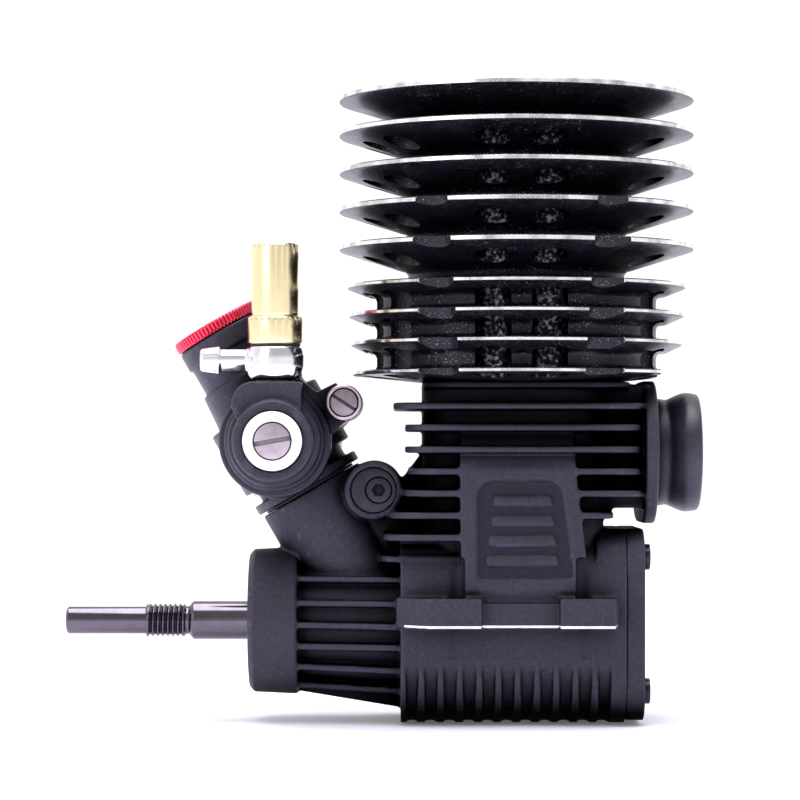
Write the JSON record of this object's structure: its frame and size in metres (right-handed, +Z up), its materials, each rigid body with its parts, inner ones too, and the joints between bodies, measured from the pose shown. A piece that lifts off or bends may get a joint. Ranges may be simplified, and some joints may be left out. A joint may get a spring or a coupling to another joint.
{
  "type": "model glow engine",
  "caption": "Small two-stroke glow engine with a tall round finned head, a side slide carburettor leaning over the drive shaft, a rear exhaust and a turning crankshaft.",
  "frame": {"origin": "the centre of the crankshaft's drive end face, on the crankshaft's axis, 81.6 mm in front of the cylinder's axis", "axes": "+X along the crankshaft towards the rear cover and the exhaust; +Y towards the throttle arm's side; +Z up the cylinder"},
  "size_m": [0.1146, 0.0642, 0.1126],
  "materials": {
    "cast_black": "matte black cast aluminium with a fine sand texture",
    "head_black": "gloss black anodising, bare bright rims on the fins",
    "machined_aluminium": "turned, satin",
    "ground_steel": "ground and polished",
    "blackened_steel": "oiled black screws and plates",
    "plated_steel": "plated slotted screws and balls",
    "brass": "turned and polished",
    "bronze": "soft washers and bushes",
    "chromed": "bright plated",
    "red_anodised": "red anodised, knurled rim",
    "black_composite": "moulded, satin",
    "white_nylon": "white",
    "black_rubber": "matte"
  },
  "bodies": {
    "engine_case": {"crankcase": "cast_black", "rear_cover": "cast_black", "rear_cover_o_ring": "black_rubber", "rear_cover_screw_1": "blackened_steel", "rear_cover_screw_2": "blackened_steel", "rear_cover_screw_3": "blackened_steel", "rear_cover_screw_4": "blackened_steel", "front_bearing_outer_race": "ground_steel", "rear_bearing_outer_race": "ground_steel", "front_bearing_shield": "blackened_steel", "cylinder_liner": "machined_aluminium", "head_gasket": "bronze", "combustion_chamber": "machined_aluminium", "glow_plug": "plated_steel", "glow_plug_washer": "bronze", "cooling_head": "head_black", "head_screw_1": "blackened_steel", "head_screw_2": "blackened_steel", "head_screw_3": "blackened_steel", "head_screw_4": "blackened_steel", "carburettor_body": "black_composite", "carburettor_o_ring": "black_rubber", "intake_ring": "red_anodised", "carburettor_retainer_near": "blackened_steel", "carburettor_retainer_far": "blackened_steel", "retainer_screw": "blackened_steel", "dust_boot": "black_rubber", "mid_needle_holder": "white_nylon", "banjo_washer_lower": "bronze", "fuel_inlet_banjo": "chromed", "banjo_washer_upper": "black_rubber", "needle_valve_holder": "brass"},
    "crank": {"crankshaft": "ground_steel", "front_bearing_inner_race": "ground_steel", "rear_bearing_inner_race": "ground_steel"},
    "front_bearing_cage": {"front_bearing_balls_and_cage": "plated_steel"},
    "rear_bearing_cage": {"rear_bearing_balls_and_cage": "plated_steel"},
    "piston_and_rod": {"piston": "machined_aluminium", "wrist_pin": "ground_steel", "wrist_pin_clip_1": "blackened_steel", "wrist_pin_clip_2": "blackened_steel", "connecting_rod": "machined_aluminium", "big_end_bush": "bronze", "small_end_bush": "bronze", "crankpin": "ground_steel"},
    "throttle": {"throttle_slide": "machined_aluminium", "throttle_arm": "plated_steel", "throttle_ball_stud": "plated_steel"},
    "low_speed_screw": {"low_speed_needle": "brass"},
    "high_speed_screw": {"high_speed_needle": "brass"},
    "mid_range_screw": {"mid_range_needle": "plated_steel"},
    "idle_screw": {"idle_stop_screw": "plated_steel"}
  },
  "joints": [
    {"name": "crank_spin", "type": "hinge", "parent": "engine_case", "child": "crank", "pos_m": [0.0816, 0, 0], "axis": [1, 0, 0], "continuous": true},
    {"name": "front_bearing_roll", "type": "hinge", "parent": "engine_case", "child": "front_bearing_cage", "pos_m": [0.0367, 0, 0], "axis": [1, 0, 0], "continuous": true},
    {"name": "rear_bearing_roll", "type": "hinge", "parent": "engine_case", "child": "rear_bearing_cage", "pos_m": [0.0674, 0, 0], "axis": [1, 0, 0], "continuous": true},
    {"name": "piston_stroke", "type": "slide", "parent": "engine_case", "child": "piston_and_rod", "axis": [0, 0, 1], "range_m": [-0.0168, 0]},
    {"name": "throttle_travel", "type": "slide", "parent": "engine_case", "child": "throttle", "axis": [0, 1, 0], "range_m": [0, 0.0085]},
    {"name": "low_speed_needle_turn", "type": "hinge", "parent": "throttle", "child": "low_speed_screw", "pos_m": [0.0383, 0.018, 0.03243], "axis": [0, 1, 0], "range_deg": [-180, 180]},
    {"name": "high_speed_needle_turn", "type": "hinge", "parent": "engine_case", "child": "high_speed_screw", "pos_m": [0.0385, -0.016, 0.06], "axis": [0, 0, 1], "range_deg": [-360, 360]},
    {"name": "mid_range_needle_turn", "type": "hinge", "parent": "engine_case", "child": "mid_range_screw", "pos_m": [0.0383, -0.02, 0.03243], "axis": [0, 1, 0], "range_deg": [-180, 180]},
    {"name": "idle_stop_screw_turn", "type": "hinge", "parent": "engine_case", "child": "idle_screw", "pos_m": [0.0506, -0.014, 0.0393], "axis": [0, 1, 0], "range_deg": [-180, 180]}
  ],
  "couplings": [
    {"joint": "front_bearing_roll", "follows": "crank_spin", "ratio": 0.3808},
    {"joint": "rear_bearing_roll", "follows": "crank_spin", "ratio": 0.4125}
  ]
}
